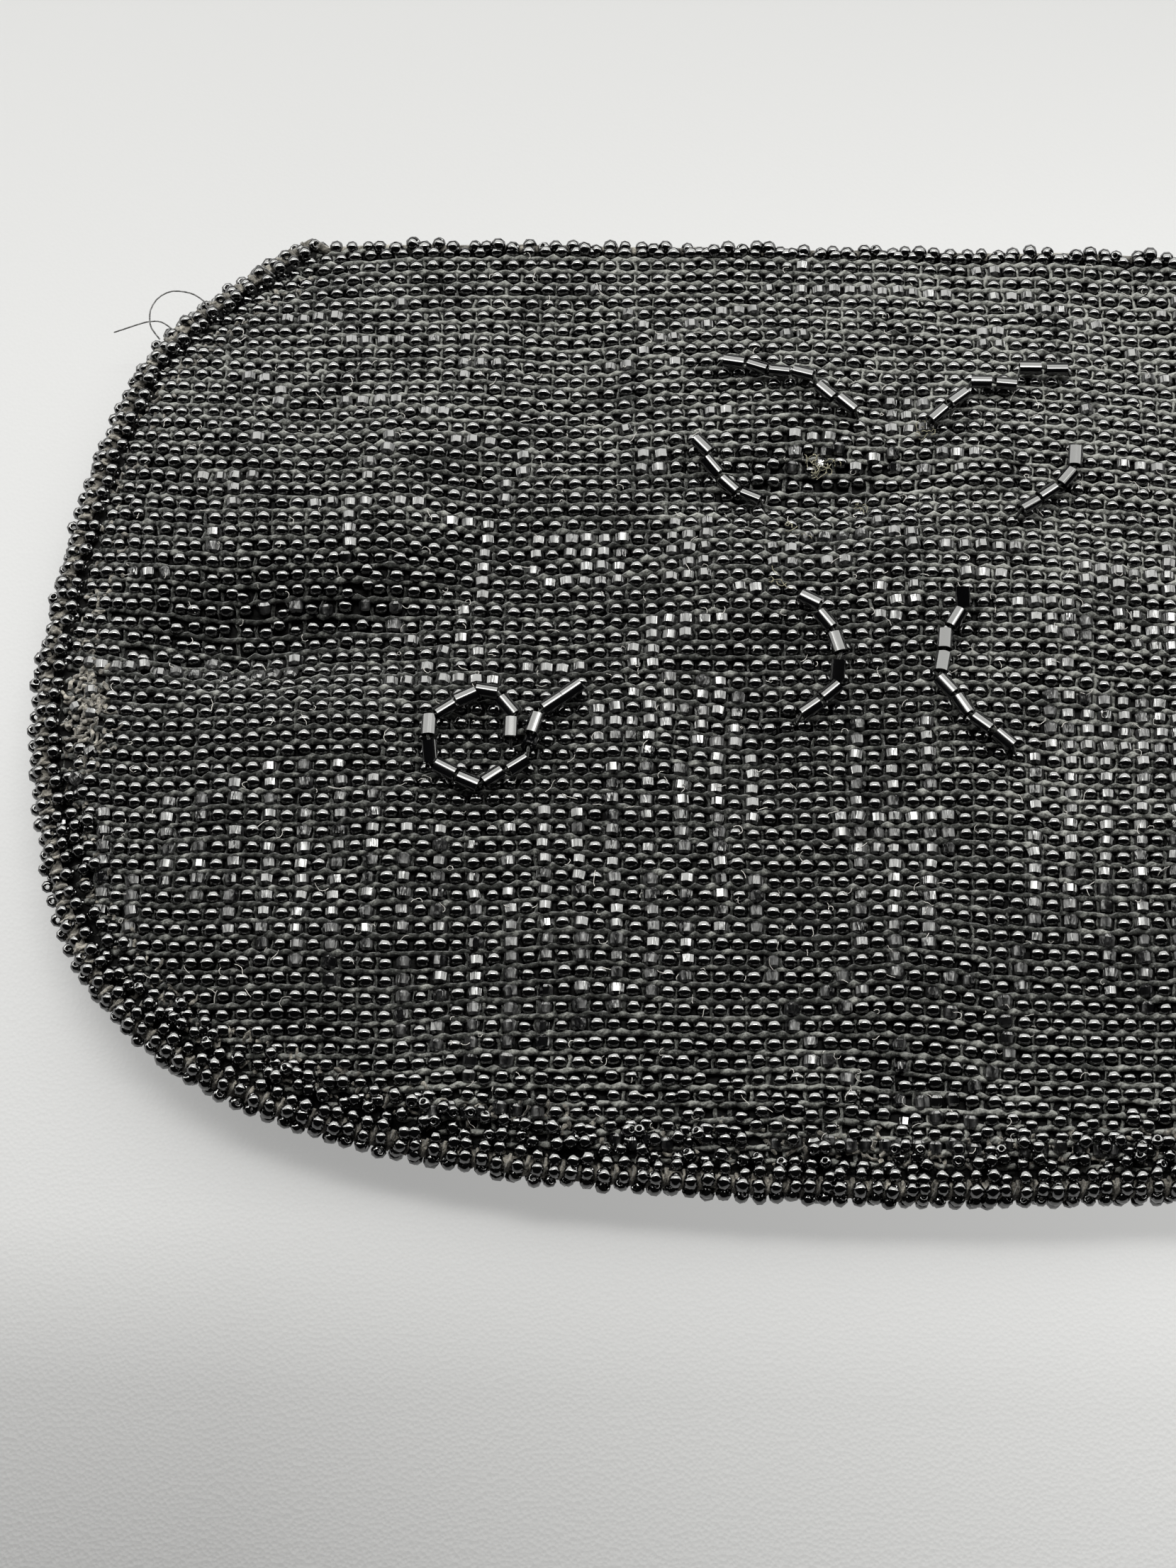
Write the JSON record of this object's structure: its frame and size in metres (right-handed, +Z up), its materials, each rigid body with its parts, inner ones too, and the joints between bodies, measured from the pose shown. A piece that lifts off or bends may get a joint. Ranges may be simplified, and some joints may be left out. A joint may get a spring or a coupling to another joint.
{
  "type": "beaded purse",
  "caption": "Flat evening purse of black bead-crocheted cloth, open along the mouth, with bead loops over its seam and bugle strings sewn on as a flower with scrolls.",
  "frame": {"origin": "on the surface the purse lies on, under the middle of its box", "axes": "+X across the purse, +Y towards the mouth, +Z up out of the front"},
  "size_m": [0.2216, 0.136, 0.0183],
  "materials": {
    "bead_cloth": "charcoal cotton crochet under a close field of black glass seed beads",
    "seed_beads": "opaque black glass, fire polished",
    "bugle_beads": "opaque black glass tube, drawn, glossy"
  },
  "bodies": {
    "root": {"front_panel": "bead_cloth", "back_panel": "bead_cloth", "edge_beading": "seed_beads", "rim_beads_front": "seed_beads", "rim_beads_back": "seed_beads", "petal_upper_left": "bugle_beads", "petal_upper_right": "bugle_beads", "petal_side_left": "bugle_beads", "petal_side_right": "bugle_beads", "stem_left": "bugle_beads", "stem_right": "bugle_beads", "curl_left": "bugle_beads", "curl_right": "bugle_beads"}
  },
  "joints": []
}
